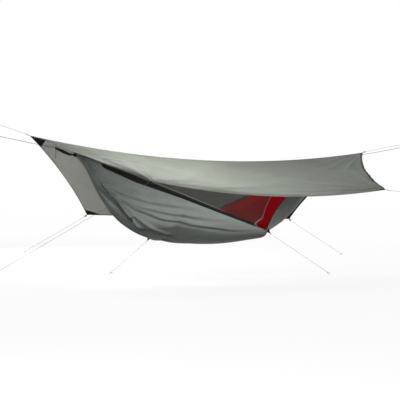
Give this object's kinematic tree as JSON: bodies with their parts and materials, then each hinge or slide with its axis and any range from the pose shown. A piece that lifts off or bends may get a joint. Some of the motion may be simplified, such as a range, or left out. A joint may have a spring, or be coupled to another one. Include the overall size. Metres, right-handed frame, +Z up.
{
  "type": "hammock tent",
  "caption": "Gathered hammock with a zipped mosquito net, hung by ropes under a six-cornered fly with an awning side, with guy lines at the corners and sides.",
  "frame": {"origin": "centre of the head rope's tree loop, which hangs the head end of the hammock and its fly", "axes": "+X along the ridge from head to foot, +Z up, -Y towards the awning side and the zip"},
  "size_m": [4.7913, 3.1628, 1.4482],
  "materials": {
    "fly_cloth": "coated, faint sheen",
    "hammock_cloth": "woven, faint sheen",
    "red_lining": "satin",
    "net": "fine matte mesh",
    "black_trim": "matte webbing",
    "guy_cord": "braided, matte",
    "rope": "braided, matte",
    "slider_metal": "satin"
  },
  "bodies": {
    "tent": {"drip_cord": "rope", "far_edge_binding": "black_trim", "far_tie_guy_end": "guy_cord", "far_tie_guy_line": "guy_cord", "far_tie_patch": "black_trim", "fly_canopy": "fly_cloth", "fly_far_foot_guy_end": "guy_cord", "fly_far_foot_guy_line": "guy_cord", "fly_far_foot_patch": "black_trim", "fly_far_foot_webbing": "black_trim", "fly_far_head_guy_end": "guy_cord", "fly_far_head_guy_line": "guy_cord", "fly_far_head_patch": "black_trim", "fly_far_head_webbing": "black_trim", "fly_foot_guy_end": "guy_cord", "fly_foot_guy_line": "guy_cord", "fly_foot_patch": "black_trim", "fly_foot_webbing": "black_trim", "fly_head_guy_end": "guy_cord", "fly_head_guy_line": "guy_cord", "fly_head_patch": "black_trim", "fly_head_webbing": "black_trim", "fly_near_foot_guy_end": "guy_cord", "fly_near_foot_guy_line": "guy_cord", "fly_near_foot_patch": "black_trim", "fly_near_foot_webbing": "black_trim", "fly_near_head_guy_end": "guy_cord", "fly_near_head_guy_line": "guy_cord", "fly_near_head_patch": "black_trim", "fly_near_head_webbing": "black_trim", "foot_end_strap": "black_trim", "foot_gather_sleeve": "black_trim", "foot_rope": "rope", "foot_tree_loop": "rope", "hammock_body": "hammock_cloth", "hammock_lining": "red_lining", "head_end_strap": "black_trim", "head_gather_sleeve": "black_trim", "head_rope": "rope", "head_tree_loop": "rope", "mosquito_net": "net", "near_tie_guy_end": "guy_cord", "near_tie_guy_line": "guy_cord", "near_tie_patch": "black_trim", "net_hang_loop_1": "black_trim", "net_hang_loop_2": "black_trim", "net_hang_loop_3": "black_trim", "net_hang_loop_4": "black_trim", "net_hang_loop_5": "black_trim", "ridge_cord": "rope", "zip_closed_tape": "black_trim", "zip_open_body_tape": "black_trim", "zip_open_net_tape": "black_trim"},
    "zip_slider": {"zip_slider_inner": "slider_metal", "zip_slider_outer": "slider_metal"},
    "outer_pull": {"pull_tab_outer": "black_trim"},
    "inner_pull": {"pull_tab_inner": "black_trim"}
  },
  "joints": [
    {"name": "zip_slide", "type": "slide", "parent": "tent", "child": "zip_slider", "axis": [-0.8839, 0.2849, 0.371], "range_m": [0, 1.4]},
    {"name": "outer_pull_hinge", "type": "hinge", "parent": "zip_slider", "child": "outer_pull", "pos_m": [2.34567, -0.50741, -0.80622], "axis": [-0.4673, -0.5745, -0.672], "range_deg": [0, 165]},
    {"name": "inner_pull_hinge", "type": "hinge", "parent": "zip_slider", "child": "inner_pull", "pos_m": [2.34535, -0.49605, -0.81571], "axis": [0.4673, 0.5745, 0.672], "range_deg": [-60, 105]}
  ]
}
